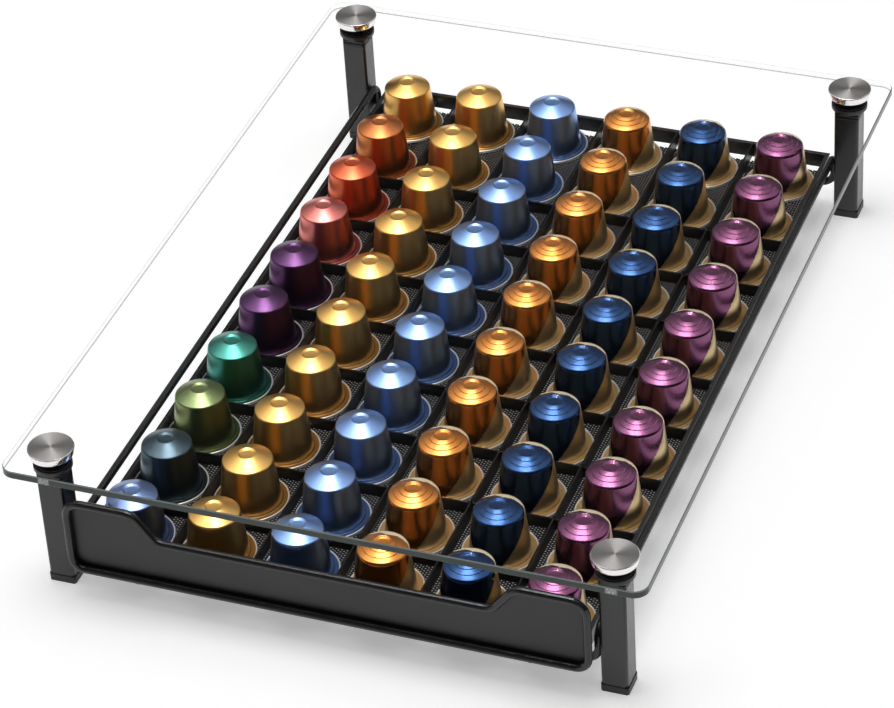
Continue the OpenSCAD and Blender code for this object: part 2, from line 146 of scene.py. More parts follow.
lamp = bpy.data.lights.new("over_box", "AREA")
lamp.shape = "RECTANGLE"
lamp.size, lamp.size_y, lamp.energy = BOX_WIDTH, BOX_DEPTH, BOX_WATTS
box = bpy.data.objects.new("over_box", lamp)
hung = Matrix.Translation(level * BOX_ASIDE + Vector((0, 0, BOX_HEIGHT)))
box.matrix_world = hung @ Matrix.Rotation(-TURN, 4, "Z")
bpy.context.scene.collection.objects.link(box)

room = bpy.data.worlds.new("room")
room.use_nodes = True
bpy.context.scene.world = room
tree = room.node_tree
tree.nodes.clear()
where = add(tree, "TexCoord")
height = add(tree, "SeparateXYZ", {0: where.outputs["Generated"]})
walls = add(tree, "ValToRGB", {0: height.outputs["Z"]})
ramp = walls.color_ramp.elements
ramp[0].position, ramp[0].color = BELOW_TO, ROOM_BELOW
ramp[1].position, ramp[1].color = ABOVE_FROM, ROOM_ABOVE
for way, start, full, strength in ROOM_PATCHES:
    nearness = add(tree, "VectorMath", {0: where.outputs["Generated"], 1: way.normalized()},
                   operation="DOT_PRODUCT")
    patch = add(tree, "MapRange", {"Value": nearness.outputs["Value"], "From Min": start,
                                   "From Max": full, "To Min": 1.0, "To Max": strength},
                interpolation_type="SMOOTHSTEP")
    walls = add(tree, "VectorMath", {0: walls.outputs[0], "Scale": patch.outputs[0]},
                operation="SCALE")
even = add(tree, "Background", {"Color": walls.outputs[0], "Strength": ROOM})
white = add(tree, "Background", {"Color": (1, 1, 1, 1), "Strength": 1.0})
path = add(tree, "LightPath")
sky = add(tree, "MixShader", {0: path.outputs["Is Camera Ray"], 1: even.outputs[0],
                              2: white.outputs[0]})
tree.links.new(sky.outputs[0], add(tree, "OutputWorld").inputs["Surface"])

bpy.context.scene.view_settings.view_transform = "Standard"

# ---- Posts, feet and plugs ------------------------------------------------------
# Square steel tubes with a satin black coat. Moulded feet are pushed in below, and
# plugs with a grooved neck and a round flange above.

MM = 0.001
CORNERS = ("front_left", "front_right", "back_left", "back_right")
COAT_PATCHES = 45.0                  # patches of more and less gloss, per metre
COAT_DARKER = 0.75
GLOSS_CHANGE = 0.04
PEEL_HEIGHT = 0.2 * MM
SHARP = math.radians(40)             # edges over this angle are rounded


def new_group(name, inputs, outputs):
    """An empty shader group; inputs and outputs are (name, kind, value)."""
    group = bpy.data.node_groups.new(name, "ShaderNodeTree")
    for label, kind, value in inputs:
        socket = group.interface.new_socket(label, in_out="INPUT", socket_type="NodeSocket" + kind)
        socket.default_value = value
    for label, kind in outputs:
        group.interface.new_socket(label, in_out="OUTPUT", socket_type="NodeSocket" + kind)
    return group, group.nodes.new("NodeGroupInput"), group.nodes.new("NodeGroupOutput")


# Baked coat: a faint orange peel, and patches that are a little more or less matt
coat_grain, given, result = new_group(
    "baked_coat",
    [("Colour", "Color", (0.02, 0.02, 0.02, 1)), ("Roughness", "Float", 0.35),
     ("Peel", "Float", 900.0), ("Depth", "Float", 0.1)],
    [("Colour", "Color"), ("Roughness", "Float"), ("Normal", "Vector")])
where = add(coat_grain, "TexCoord")
peel = add(coat_grain, "TexNoise", {"Vector": where.outputs["Object"], "Scale": given.outputs["Peel"],
                                    "Detail": 2.0, "Roughness": 0.5})
patch = add(coat_grain, "TexNoise", {"Vector": where.outputs["Object"], "Scale": COAT_PATCHES,
                                     "Detail": 4.0})
darker = add(coat_grain, "HueSaturation", {"Value": COAT_DARKER, "Color": given.outputs["Colour"]})
colour = add(coat_grain, "MixRGB", {0: patch.outputs["Fac"], 1: darker.outputs[0],
                                    2: given.outputs["Colour"]})
change = add(coat_grain, "MapRange", {"Value": patch.outputs["Fac"], "From Min": 0.3, "From Max": 0.7,
                                      "To Min": -GLOSS_CHANGE, "To Max": GLOSS_CHANGE})
rough = add(coat_grain, "Math", {0: given.outputs["Roughness"], 1: change.outputs[0]}, operation="ADD")
bump = add(coat_grain, "Bump", {"Strength": given.outputs["Depth"], "Distance": PEEL_HEIGHT,
                                "Height": peel.outputs["Fac"]})
coat_grain.links.new(colour.outputs[0], result.inputs["Colour"])
coat_grain.links.new(rough.outputs[0], result.inputs["Roughness"])
coat_grain.links.new(bump.outputs[0], result.inputs["Normal"])


def coat(name, colour, roughness, peel, depth, specular=0.5):
    """A coated metal or moulded plastic; the peel is in grains per metre."""
    material, tree, out = blank_material(name)
    grain = add(tree, "Group", {"Colour": (*colour, 1), "Roughness": roughness, "Peel": peel,
                                "Depth": depth}, node_tree=coat_grain)
    skin = add(tree, "BsdfPrincipled", {
        "Base Color": grain.outputs["Colour"], "Roughness": grain.outputs["Roughness"],
        "Normal": grain.outputs["Normal"], "Specular IOR Level": specular})
    tree.links.new(skin.outputs[0], out.inputs["Surface"])
    return material


def dress(name, material, bevel=0.0):
    """Gives a CAD node its finish, and rounds its sharp edges where asked."""
    piece = nodes[name]
    piece.data.materials.clear()
    piece.data.materials.append(material)
    if bevel:
        join = piece.modifiers.new("join", "WELD")
        join.merge_threshold = 0.01 * MM
        edge = piece.modifiers.new("edge", "BEVEL")
        edge.width = bevel * MM
        edge.segments = 2
        edge.limit_method = "ANGLE"
        edge.angle_limit = SHARP
        edge.harden_normals = True


satin_black = coat("satin_black", (0.017, 0.017, 0.018), roughness=0.27, peel=1400, depth=0.10,
                   specular=0.58)
moulded_black = coat("moulded_black", (0.012, 0.012, 0.012), roughness=0.42, peel=2200, depth=0.25)
for corner in CORNERS:
    dress(corner + "_post", satin_black, bevel=0.2)
    dress(corner + "_foot", moulded_black, bevel=0.3)
    dress(corner + "_plug", moulded_black, bevel=0.15)

# ---- Wire frame -----------------------------------------------------------------
# Round steel wires with a glossier black coat: side rails and cross wires welded to
# the posts, and the two glide wires that lie across them.

wire_black = coat("wire_black", (0.012, 0.012, 0.013), roughness=0.22, peel=1000, depth=0.06)
for name in ("left_rail", "right_rail", "front_cross_wire", "back_cross_wire",
             "left_glide_wire", "right_glide_wire"):
    dress(name, wire_black)

# ---- Tray -------------------------------------------------------------------------
# Folded steel strips with a rolled hem make the tray's sides and back. Slotted strips
# halved into each other divide it, and have a more matt coat.

tray_black = coat("tray_black", (0.012, 0.012, 0.012), roughness=0.30, peel=1000, depth=0.08)
for name in ("left_wall", "right_wall", "back_wall"):
    dress(name, tray_black, bevel=0.2)
strip_black = coat("strip_black", (0.006, 0.0055, 0.005), roughness=0.36, peel=1000, depth=0.08,
                   specular=0.22)
dress("column_dividers", strip_black, bevel=0.12)
dress("row_dividers", strip_black, bevel=0.12)

# ---- Floor ------------------------------------------------------------------------
# Expanded steel mesh: sheet that is slit and pulled, so that thin strands cross in
# long diamonds. One set of strands lies a little higher than the other.

STRAND_PITCH = 1.5 * MM
STRAND_WIDTH = 0.62 * MM
STRAND_THICK = 0.45 * MM
STRAND_TURN = math.radians(32)
STRAND_STEP = 0.12 * MM
STRAND_SHORTEST = 0.5 * MM           # shorter ones are left out
SMOOTH_TO = math.radians(28)         # edges over this angle stay crisp


def new_piece(name, maker, *materials):
    """Turns a finished bmesh into an object with its materials."""
    data = bpy.data.meshes.new(name)
    maker.to_mesh(data)
    maker.free()
    data.set_sharp_from_angle(angle=SMOOTH_TO)
    for material in materials:
        data.materials.append(material)
    piece = bpy.data.objects.new(name, data)
    bpy.context.scene.collection.objects.link(piece)
    return piece


def strand(maker, start, finish, low):
    """A flat bar between two points of the floor."""
    along = (finish - start).normalized()
    across = Vector((-along.y, along.x)) * STRAND_WIDTH / 2
    ring = [start - across, start + across, finish + across, finish - across]
    under = [maker.verts.new((p.x, p.y, low)) for p in ring]
    over = [maker.verts.new((p.x, p.y, low + STRAND_THICK)) for p in ring]
    maker.faces.new(under)
    maker.faces.new(over[::-1])
    for i in range(4):
        j = (i + 1) % 4
        maker.faces.new((under[j], under[i], over[i], over[j]))


def clipped(point, along, low, high):
    """The stretch of a line that lies in a rectangle, or nothing."""
    first, last = -math.inf, math.inf
    for axis in (0, 1):
        near, far = sorted(((low[axis] - point[axis]) / along[axis],
                            (high[axis] - point[axis]) / along[axis]))
        first, last = max(first, near), min(last, far)
    return (point + along * first, point + along * last) if last - first > STRAND_SHORTEST else None


floor_low, floor_high = (Vector(corner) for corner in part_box("floor_grille"))
maker = bmesh.new()
middle = (floor_low + floor_high).xy / 2
count = int((floor_high - floor_low).xy.length / STRAND_PITCH / 2)
for lean, low in ((STRAND_TURN, floor_low.z), (-STRAND_TURN, floor_low.z + STRAND_STEP)):
    along = Vector((math.cos(lean), math.sin(lean)))
    across = Vector((-along.y, along.x))
    for i in range(-count, count + 1):
        ends = clipped(middle + across * i * STRAND_PITCH, along, floor_low, floor_high)
        if ends:
            strand(maker, *ends, low)
mesh_black = coat("mesh_black", (0.009, 0.0075, 0.006), roughness=0.38, peel=1800, depth=0.20,
                  specular=0.3)
floor = new_piece("mesh_floor", maker, mesh_black)
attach(floor, "tray")
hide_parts("floor_grille")

# ---- Front panel --------------------------------------------------------------------
# Flat steel sheet welded behind a thick wire that runs round it and dips in the
# middle for the hand. The sheet's coat is more matt than the wire's.

panel_black = coat("panel_black", (0.024, 0.024, 0.025), roughness=0.42, peel=1400, depth=0.12)
rim_black = coat("rim_black", (0.012, 0.012, 0.013), roughness=0.20, peel=1000, depth=0.06)
dress("front_panel", panel_black, bevel=0.15)
dress("panel_rim_wire", rim_black)

# ---- Pods -----------------------------------------------------------------------------
# Shells drawn from thin aluminium: a flange with a curled bare edge, a tapering body,
# a bevelled shoulder and a conical top with a shallow dish. Ten kinds are plain, with
# a satin coloured coat, and their flanges carry painted shade: the coat's colour, darkened.

ACROSS, ALONG = 41.4 * MM, 40.9 * MM
FIRST_X, FIRST_Y = -2.5 * ACROSS, -185.55 * MM
POD_FLOOR = 20.6 * MM
ROWS = 10
SLIDE_X = (1.6 * MM, 36, -9, 290)    # reach; degrees for a column, a row, and the first cell
SLIDE_Y = (1.35 * MM, 48, -12, 90)
POD_SIDES = 72
ARC_STEP = math.radians(20)
ON_AXIS = 0.000001
FLANGE_UP, RIB_UP = 1.0, 1.13
RIB_FOOT, RIB_TOP = 0.2, 0.06        # half of a rib's width, below and above
CURL_FROM = 17.5
SHELL, EDGE, FOOT = 0, 1, 2          # the finishes of a pod, as material slots
FOOT_FROM, FOOT_TO_UP = 15, 2

# A pod's outline in millimetres, from the middle of its top over the flange and back
# up inside: corners of (out, up, radius)
PLAIN_TOP = [(0, 27.25, 0), (3.2, 27.3, 0.9), (4.3, 28.0, 0.25)]
PLAIN_BODY = [(11.8, 24.6, 0.35), (12.25, 24.05, 0.4), (14.9, 1.7, 0.5), (15.5, FLANGE_UP, 0.4)]
PLAIN_RIBS = (16.1, 16.7)
CURL = [(CURL_FROM, FLANGE_UP, 0), (17.62, 1.28, 0.12), (18.2, 1.34, 0.3), (18.5, 0.8, 0.25),
        (18.4, 0.2, 0.1), (14.4, 0.2, 0)]
INSIDE = [(14.4, 1.8, 0), (11.7, 23.6, 0), (11.2, 24.1, 0), (4.4, 26.6, 0), (0, 26.6, 0)]


def slid(slide, column, row):
    """How far a pod has slid in its cell, which changes slowly from cell to cell."""
    reach, per_column, per_row, first = slide
    return reach * math.sin(math.radians(per_column * column + per_row * row + first))


def pod_place(column, row):
    """Where a pod stands."""
    return Vector((FIRST_X + column * ACROSS + slid(SLIDE_X, column, row),
                   FIRST_Y + row * ALONG + slid(SLIDE_Y, column, row), POD_FLOOR))


def ribs(places):
    """The flange's fine pressed ribs, as corners of the outline."""
    line = []
    for out in places:
        line += [(out - RIB_FOOT, FLANGE_UP, 0), (out - RIB_TOP, RIB_UP, 0),
                 (out + RIB_TOP, RIB_UP, 0), (out + RIB_FOOT, FLANGE_UP, 0)]
    return line


def rounded(corners):
    """A line through corners of (out, up, radius), each rounded by its radius."""
    line = []
    for i, (out, up, radius) in enumerate(corners):
        here = Vector((out, up))
        if not radius:
            line.append(here)
            continue
        back = (Vector(corners[i - 1][:2]) - here).normalized()
        ahead = (Vector(corners[i + 1][:2]) - here).normalized()
        half = back.angle(ahead) / 2
        centre = here + (back + ahead).normalized() * radius / math.sin(half)
        first = here + back * radius / math.tan(half) - centre
        last = here + ahead * radius / math.tan(half) - centre
        sweep = first.angle_signed(last)
        steps = max(2, round(abs(sweep) / ARC_STEP))
        for k in range(steps + 1):
            turn = -sweep * k / steps
            line.append(centre + Vector((first.x * math.cos(turn) - first.y * math.sin(turn),
                                         first.x * math.sin(turn) + first.y * math.cos(turn))))
    return line


def finish_of(point):
    """Which finish an outline has at a point: bare curled edge, flange or shell."""
    if point.y >= FOOT_TO_UP:
        return SHELL
    if point.x > CURL_FROM:
        return EDGE
    return FOOT if point.x > FOOT_FROM else SHELL


def turned(maker, line, place, print_of=None, layer=None):
    """Turns an outline about the axis of a pod at a place. Its ends lie on the axis."""
    rings = []
    for point in line:
        count = 1 if point.x < ON_AXIS else POD_SIDES
        ring = []
        for k in range(count):
            turn = 2 * math.pi * k / POD_SIDES
            around = Vector((point.x * math.cos(turn), point.x * math.sin(turn), point.y))
            vert = maker.verts.new(place + around * MM)
            if print_of:
                vert[layer] = print_of(point.x, point.y, turn)
            ring.append(vert)
        rings.append(ring)
    for i in range(len(rings) - 1):
        inner, outer = rings[i], rings[i + 1]
        finish = finish_of((line[i] + line[i + 1]) / 2)
        for k in range(POD_SIDES):
            m = (k + 1) % POD_SIDES
            if len(inner) == 1:
                corners = (inner[0], outer[k], outer[m])
            elif len(outer) == 1:
                corners = (inner[k], outer[0], inner[m])
            else:
                corners = (inner[k], outer[k], outer[m], inner[m])
            face = maker.faces.new(corners)
            face.material_index = finish
            face.smooth = True


def plain_pods(places):
    """The plain pods of one colour, as one piece."""
    maker = bmesh.new()
    for column, row in places:
        turned(maker, PLAIN, pod_place(column, row))
    return maker


PLAIN = rounded(PLAIN_TOP + PLAIN_BODY + ribs(PLAIN_RIBS) + CURL + INSIDE)

# Drawn metal: fine marks run down the shell, and the coat varies a little in patches
MARKS_STRETCH = 0.06
MARKS, FINE_GRAIN, METAL_PATCHES = 1600.0, 2600.0, 70.0    # per metre
MARKS_HEIGHT = 0.08 * MM
drawn_grain, given, result = new_group(
    "drawn_shell",
    [("Colour", "Color", (0.8, 0.5, 0.2, 1)), ("Roughness", "Float", 0.35), ("Grain", "Float", 0.1),
     ("Marks", "Float", 0.5)],
    [("Colour", "Color"), ("Roughness", "Float"), ("Normal", "Vector")])
where = add(drawn_grain, "TexCoord")
squash = add(drawn_grain, "Mapping", {"Vector": where.outputs["Object"],
                                      "Scale": (1, 1, MARKS_STRETCH)})
marks = add(drawn_grain, "TexNoise", {"Vector": squash.outputs[0], "Scale": MARKS, "Detail": 2.0})
fine = add(drawn_grain, "TexNoise", {"Vector": where.outputs["Object"], "Scale": FINE_GRAIN,
                                     "Detail": 2.0})
patch = add(drawn_grain, "TexNoise", {"Vector": where.outputs["Object"], "Scale": METAL_PATCHES,
                                      "Detail": 3.0})
deeper = add(drawn_grain, "HueSaturation", {"Value": 0.86, "Saturation": 1.04,
                                            "Color": given.outputs["Colour"]})
colour = add(drawn_grain, "MixRGB", {0: patch.outputs["Fac"], 1: deeper.outputs[0],
                                     2: given.outputs["Colour"]})
change = add(drawn_grain, "MapRange", {"Value": marks.outputs["Fac"], "From Min": 0.3,
                                       "From Max": 0.7, "To Min": -0.04, "To Max": 0.05})
change = add(drawn_grain, "Math", {0: change.outputs[0], 1: given.outputs["Marks"]},
             operation="MULTIPLY")
rough = add(drawn_grain, "Math", {0: given.outputs["Roughness"], 1: change.outputs[0]},
            operation="ADD")
height = add(drawn_grain, "MixRGB", {0: given.outputs["Marks"], 1: fine.outputs["Fac"],
                                     2: marks.outputs["Fac"]})
bump = add(drawn_grain, "Bump", {"Strength": given.outputs["Grain"], "Distance": MARKS_HEIGHT,
                                 "Height": height.outputs[0]})
drawn_grain.links.new(colour.outputs[0], result.inputs["Colour"])
drawn_grain.links.new(rough.outputs[0], result.inputs["Roughness"])
drawn_grain.links.new(bump.outputs[0], result.inputs["Normal"])


def drawn_metal(name, tint, roughness, grain, marks, coat_weight=0.0, coat_roughness=0.03):
    """Drawn aluminium in its own or a stain's colour, with a clear coat if asked."""
    material, tree, out = blank_material(name)
    surface = add(tree, "Group", {"Colour": (*tint, 1), "Roughness": roughness, "Grain": grain,
                                  "Marks": marks}, node_tree=drawn_grain)
    skin = add(tree, "BsdfPrincipled", {
        "Base Color": surface.outputs["Colour"], "Roughness": surface.outputs["Roughness"],
        "Normal": surface.outputs["Normal"], "Metallic": 1.0, "Coat Weight": coat_weight,
        "Coat Roughness": coat_roughness})
    tree.links.new(skin.outputs[0], out.inputs["Surface"])
    return material


def satin_metal(name, tint):
    """The plain pods' satin coat."""
    return drawn_metal(name, tint, roughness=0.29, grain=0.12, marks=0.4, coat_weight=0.02,
                       coat_roughness=0.30)


PLAIN_TINTS = {
    "gold": (0.93, 0.545, 0.175), "blue": (0.285, 0.445, 0.82), "indigo": (0.25, 0.345, 0.62),
    "slate": (0.085, 0.125, 0.15), "olive": (0.25, 0.31, 0.14), "green": (0.085, 0.33, 0.27),
    "violet": (0.12, 0.052, 0.135), "pink": (0.80, 0.25, 0.22), "red": (0.80, 0.17, 0.085),
    "copper": (0.70, 0.235, 0.085)}
PAINTED_FLANGE_SHADE = 0.38                    # painted shade: the flange's colour is this much darker, as shade falls there
LEFT_COLUMN = ["indigo", "slate", "olive", "green", "violet", "violet", "pink", "red", "copper",
               "gold"]
bare_edge = drawn_metal("bare_edge", (0.95, 0.93, 0.90), roughness=0.30, grain=0.1, marks=0.5)
plain_places = {tint: [(0, row) for row, kind in enumerate(LEFT_COLUMN) if kind == tint]
                for tint in PLAIN_TINTS}
plain_places["gold"] += [(1, row) for row in range(ROWS)]
plain_places["blue"] += [(2, row) for row in range(ROWS)]
for tint, places in plain_places.items():
    node = tint + ("_pods" if len(places) > 1 else "_pod")
    # Painted shade: a darker copy of the coat's colour for the flange
    painted_shade_foot_tint = [part * PAINTED_FLANGE_SHADE for part in PLAIN_TINTS[tint]]
    shells = new_piece(node.replace("pod", "shell"), plain_pods(places),
                       satin_metal(tint + "_shell", PLAIN_TINTS[tint]), bare_edge,
                       satin_metal(tint + "_foot", painted_shade_foot_tint))
    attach(shells, "tray")
    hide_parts(node)

# ---- Two-tone pods ----------------------------------------------------------------------
# The same shell in champagne gold with a rounder shoulder and two pressed steps in its
# top. Its front and top are printed in a glossy colour, which ends in fine dots.

STEPPED_TOP = [(0, 27.2, 0), (3.2, 27.2, 0.8), (4.3, 28.0, 0.25), (6.45, 27.15, 0), (6.6, 26.78, 0),
               (9.1, 25.87, 0), (9.25, 25.5, 0)]
STEPPED_BODY = [(11.7, 24.5, 0.9), (12.35, 23.4, 0.9), (14.9, 1.7, 0.5), (15.4, FLANGE_UP, 0.3)]
STEPPED_RIBS = (15.9, 16.5, 17.1)
STEPPED = rounded(STEPPED_TOP + STEPPED_BODY + ribs(STEPPED_RIBS) + CURL + INSIDE)
PRINT_TURN = math.radians(-91.7)     # the middle of the printed side faces the front
PRINT_ENDS = 15.2                    # there is no print further out than this
UNPRINTED = -5.0
SHOULDER_OUT, SHOULDER_UP = 12.3, 23.6
# How far the print goes round each way, in degrees: on top, 104 at the shoulder and 76
# more over 6.3 mm inwards; on the side, 37 at 6 mm up and 3.7 more for each mm above
TOP_REACH, TOP_GAIN, TOP_BLEND, TOP_CURVE = 104, 76, 6.3, 0.8
SIDE_REACH, SIDE_GAIN, SIDE_FROM = 37, 3.7, 6
TWO_TONE_FROM = 3                    # the first two-tone column
PRINT_TINTS = {"orange": (0.84, 0.32, 0.08), "navy": (0.031, 0.078, 0.205),
               "purple": (0.235, 0.08, 0.17)}
# The second champagne is painted light: a paler copy, used as a painted highlight on faces that look
# up
CHAMPAGNE, CHAMPAGNE_PAINTED_LIGHT = (0.82, 0.62, 0.34, 1), (0.98, 0.86, 0.62, 1)
CHAMPAGNE_FOOT = (0.72, 0.50, 0.24)


def inside_print(out, up, turn):
    """How far a point of the shell lies inside the print's border, in millimetres."""
    if out > PRINT_ENDS:
        return UNPRINTED
    side = (turn - PRINT_TURN + math.pi) % (2 * math.pi) - math.pi
    if up > SHOULDER_UP:
        inwards = max(0.0, min(1.0, (SHOULDER_OUT - out) / TOP_BLEND))
        reach = TOP_REACH + TOP_GAIN * inwards ** TOP_CURVE
    else:
        reach = SIDE_REACH + SIDE_GAIN * (up - SIDE_FROM)
    return (math.radians(reach) - abs(side)) * max(out, 1.0)


def two_tone_pods(column):
    """The two-tone pods of one column, as one piece that carries the print's border."""
    maker = bmesh.new()
    border = maker.verts.layers.float.new("print")
    for row in range(ROWS):
        turned(maker, STEPPED, pod_place(column, row), inside_print, border)
    return maker


# The print's border: solid inside, then dots that get smaller outwards
DOT_FALL = -1.6                      # ink lost from a dot's middle to one dot away
INK_SOFT = 0.15
dot_edge, given, result = new_group(
    "dotted_edge", [("Inside", "Float", 0.0), ("Dot", "Float", 0.5)], [("Printed", "Float")])
where = add(dot_edge, "TexCoord")
rate = add(dot_edge, "Math", {0: 1 / MM, 1: given.outputs["Dot"]}, operation="DIVIDE")
dots = add(dot_edge, "TexVoronoi", {"Vector": where.outputs["Object"], "Scale": rate.outputs[0]})
lost = add(dot_edge, "Math", {0: dots.outputs["Distance"], 1: DOT_FALL}, operation="MULTIPLY")
left = add(dot_edge, "Math", {0: lost.outputs[0], 1: 1.0}, operation="ADD")
ink = add(dot_edge, "Math", {0: left.outputs[0], 1: given.outputs["Inside"]}, operation="ADD")
edge = add(dot_edge, "MapRange", {"Value": ink.outputs[0], "From Min": 0.0, "From Max": INK_SOFT})
dot_edge.links.new(edge.outputs[0], result.inputs["Printed"])


def two_tone_shell(name, tint):
    """Champagne gold with a painted highlight that makes its top paler, more matt on top, under a
    glossy print.
    """
    material, tree, out = blank_material(name)
    inside = add(tree, "Attribute", attribute_name="print")
    dotted = add(tree, "Group", {"Inside": inside.outputs["Fac"]}, node_tree=dot_edge)
    shape = add(tree, "NewGeometry")
    facing = add(tree, "SeparateXYZ", {0: shape.outputs["True Normal"]})
    # Faces that look up get the paler champagne, a painted highlight
    on_top = add(tree, "MapRange", {"Value": facing.outputs["Z"], "From Min": 0.2, "From Max": 0.5})
    painted_lit_champagne = add(tree, "MixRGB", {0: on_top.outputs[0], 1: CHAMPAGNE, 2: CHAMPAGNE_PAINTED_LIGHT})
    bare_gloss = add(tree, "MapRange", {"Value": on_top.outputs[0], "To Min": 0.36, "To Max": 0.55})
    base = add(tree, "MixRGB", {0: dotted.outputs[0], 1: painted_lit_champagne.outputs[0], 2: (*tint, 1)})
    gloss = add(tree, "MapRange", {"Value": dotted.outputs[0], "To Min": bare_gloss.outputs[0],
                                   "To Max": 0.24})
    surface = add(tree, "Group", {"Colour": base.outputs[0], "Roughness": gloss.outputs[0],
                                  "Grain": 0.05, "Marks": 0.0}, node_tree=drawn_grain)
    skin = add(tree, "BsdfPrincipled", {
        "Base Color": surface.outputs["Colour"], "Roughness": surface.outputs["Roughness"],
        "Normal": surface.outputs["Normal"], "Metallic": 1.0, "Coat Weight": 0.3,
        "Coat Roughness": 0.12})
    tree.links.new(skin.outputs[0], out.inputs["Surface"])
    return material


for column, (tint, colour) in enumerate(PRINT_TINTS.items(), TWO_TONE_FROM):
    shells = new_piece(tint + "_gold_shells", two_tone_pods(column),
                       two_tone_shell(tint + "_gold_shell", colour), bare_edge,
                       satin_metal(tint + "_gold_foot", CHAMPAGNE_FOOT))
    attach(shells, "tray")
    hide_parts(tint + "_gold_pods")

# ---- Foils ------------------------------------------------------------------------------
# Thin silver membranes, sealed under the flanges, that close the pods below. They
# are a little rougher than the shells, from the sealing.

silver_foil = drawn_metal("silver_foil", (0.85, 0.84, 0.82), roughness=0.28, grain=0.5, marks=0.5)
dress("pod_foils", silver_foil)

# ---- Glass ----------------------------------------------------------------------------
# A clear toughened plate, 4 mm thick, with round corners and ground edges, drilled at
# the corners for the studs. Its edge looks grey green, as the light that leaves there
# has come a long way through it.

PLATE_CORNER = 7 * MM
PLATE_BEVEL = 0.5 * MM
CORNER_STEPS = 12
STUD_HOLE = 3.6 * MM
HOLE_SIDES = 24
FACE, GROUND, BEVEL = 0, 1, 2        # the finishes of the plate, as material slots
EDGE_DARK, EDGE_PALE = (0.010, 0.024, 0.018, 1), (0.050, 0.076, 0.062, 1)
BEVEL_DARK, BEVEL_PALE = (0.14, 0.17, 0.16, 1), (0.34, 0.38, 0.36, 1)
GLASS_INDEX = 1.5
FACE_INDEX = 1.02                    # hardly moves what is seen through the plate
SMEAR = 0.015                        # the faces' roughness where they were wiped
# A painted highlight: the pale colour of the glints painted into the edge beside the front posts
PAINTED_GLINT = (0.88, 0.92, 0.90, 1)
PAINTED_GLINT_ASIDE = 10.3 * MM              # from a post's left side to a glint's middle
PAINTED_GLINT_FULL, PAINTED_GLINT_GONE = 2.0 * MM, 3.2 * MM      # from its middle
plate_low, plate_high = (Vector(corner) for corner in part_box("glass_top"))


def plate_outline(inset):
    """The plate's outline, anticlockwise, set in by an amount."""
    points = []
    for k, (sx, sy) in enumerate(((1, -1), (1, 1), (-1, 1), (-1, -1))):
        centre = Vector((sx * (plate_high.x - PLATE_CORNER), sy * (plate_high.y - PLATE_CORNER)))
        for step in range(CORNER_STEPS + 1):
            turn = math.radians(90 * (k - 1 + step / CORNER_STEPS))
            points.append(centre + Vector((math.cos(turn), math.sin(turn))) * (PLATE_CORNER - inset))
    return points


def band(maker, lower, upper, finish):
    """Joins two rings of equal length with faces."""
    for i in range(len(lower)):
        j = (i + 1) % len(lower)
        maker.faces.new((lower[i], lower[j], upper[j], upper[i])).material_index = finish


def plate_face(maker, loops, up):
    """Closes the plate above or below, between its outline and the holes."""
    edges = []
    for loop in loops:
        edges += [maker.edges.get((loop[i], loop[(i + 1) % len(loop)])) for i in range(len(loop))]
    filled = bmesh.ops.triangle_fill(maker, edges=edges, use_beauty=True)
    for face in filled["geom"]:
        if isinstance(face, bmesh.types.BMFace):
            face.material_index = FACE
            face.normal_update()
            if face.normal.z * up < 0:
                face.normal_flip()


def plate():
    """The bevelled plate with its four holes."""
    maker = bmesh.new()
    levels = ((plate_low.z, PLATE_BEVEL), (plate_low.z + PLATE_BEVEL, 0),
              (plate_high.z - PLATE_BEVEL, 0), (plate_high.z, PLATE_BEVEL))
    rings = [[maker.verts.new((p.x, p.y, up)) for p in plate_outline(inset)] for up, inset in levels]
    for lower, upper, finish in zip(rings, rings[1:], (BEVEL, GROUND, BEVEL)):
        band(maker, lower, upper, finish)
    below, above = [rings[0]], [rings[-1]]
    for corner in CORNERS:
        cap_low, cap_high = (Vector(p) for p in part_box(corner + "_cap"))
        middle = (cap_low + cap_high) / 2
        turns = [2 * math.pi * k / HOLE_SIDES for k in range(HOLE_SIDES)]
        circle = [(middle.x + STUD_HOLE * math.cos(turn), middle.y + STUD_HOLE * math.sin(turn))
                  for turn in turns]
        lower, upper = [[maker.verts.new((x, y, up)) for x, y in circle]
                        for up in (plate_low.z, plate_high.z)]
        band(maker, upper, lower, GROUND)
        below.append(lower)
        above.append(upper)
    plate_face(maker, below, -1)
    plate_face(maker, above, 1)
    return maker


# The faces let light and shadow through unchanged, so that the tray stays lit
glass_face, tree, out = blank_material("glass_face")
smear = add(tree, "TexNoise", {"Scale": 6.0, "Detail": 3.0})
polish = add(tree, "MapRange", {"Value": smear.outputs["Fac"], "To Min": 0.0, "To Max": SMEAR})
skin = add(tree, "BsdfPrincipled", {
    "Base Color": (1, 1, 1, 1), "Roughness": polish.outputs[0], "IOR": FACE_INDEX,
    "Transmission Weight": 1.0, "Coat Weight": 0.02, "Coat Roughness": 0.0})
through = add(tree, "BsdfTransparent")
path = add(tree, "LightPath")
soft = add(tree, "Math", {0: path.outputs["Is Shadow Ray"], 1: path.outputs["Is Diffuse Ray"]},
           operation="MAXIMUM")
clear = add(tree, "MixShader", {0: soft.outputs[0], 1: skin.outputs[0], 2: through.outputs[0]})
tree.links.new(clear.outputs[0], out.inputs["Surface"])

# The edge is grey green from outside and clear from inside. Streaky glints are painted
# on its front and back, in line with the posts: a painted highlight in its colour.
glass_edge, tree, out = blank_material("glass_edge")
where = add(tree, "TexCoord")
streak = add(tree, "Mapping", {"Vector": where.outputs["Object"], "Scale": (1, 1, 12)})
veins = add(tree, "TexNoise", {"Vector": streak.outputs[0], "Scale": 60.0, "Detail": 4.0})
green = add(tree, "MixRGB", {0: veins.outputs["Fac"], 1: EDGE_DARK, 2: EDGE_PALE})
place = add(tree, "SeparateXYZ", {0: where.outputs["Object"]})
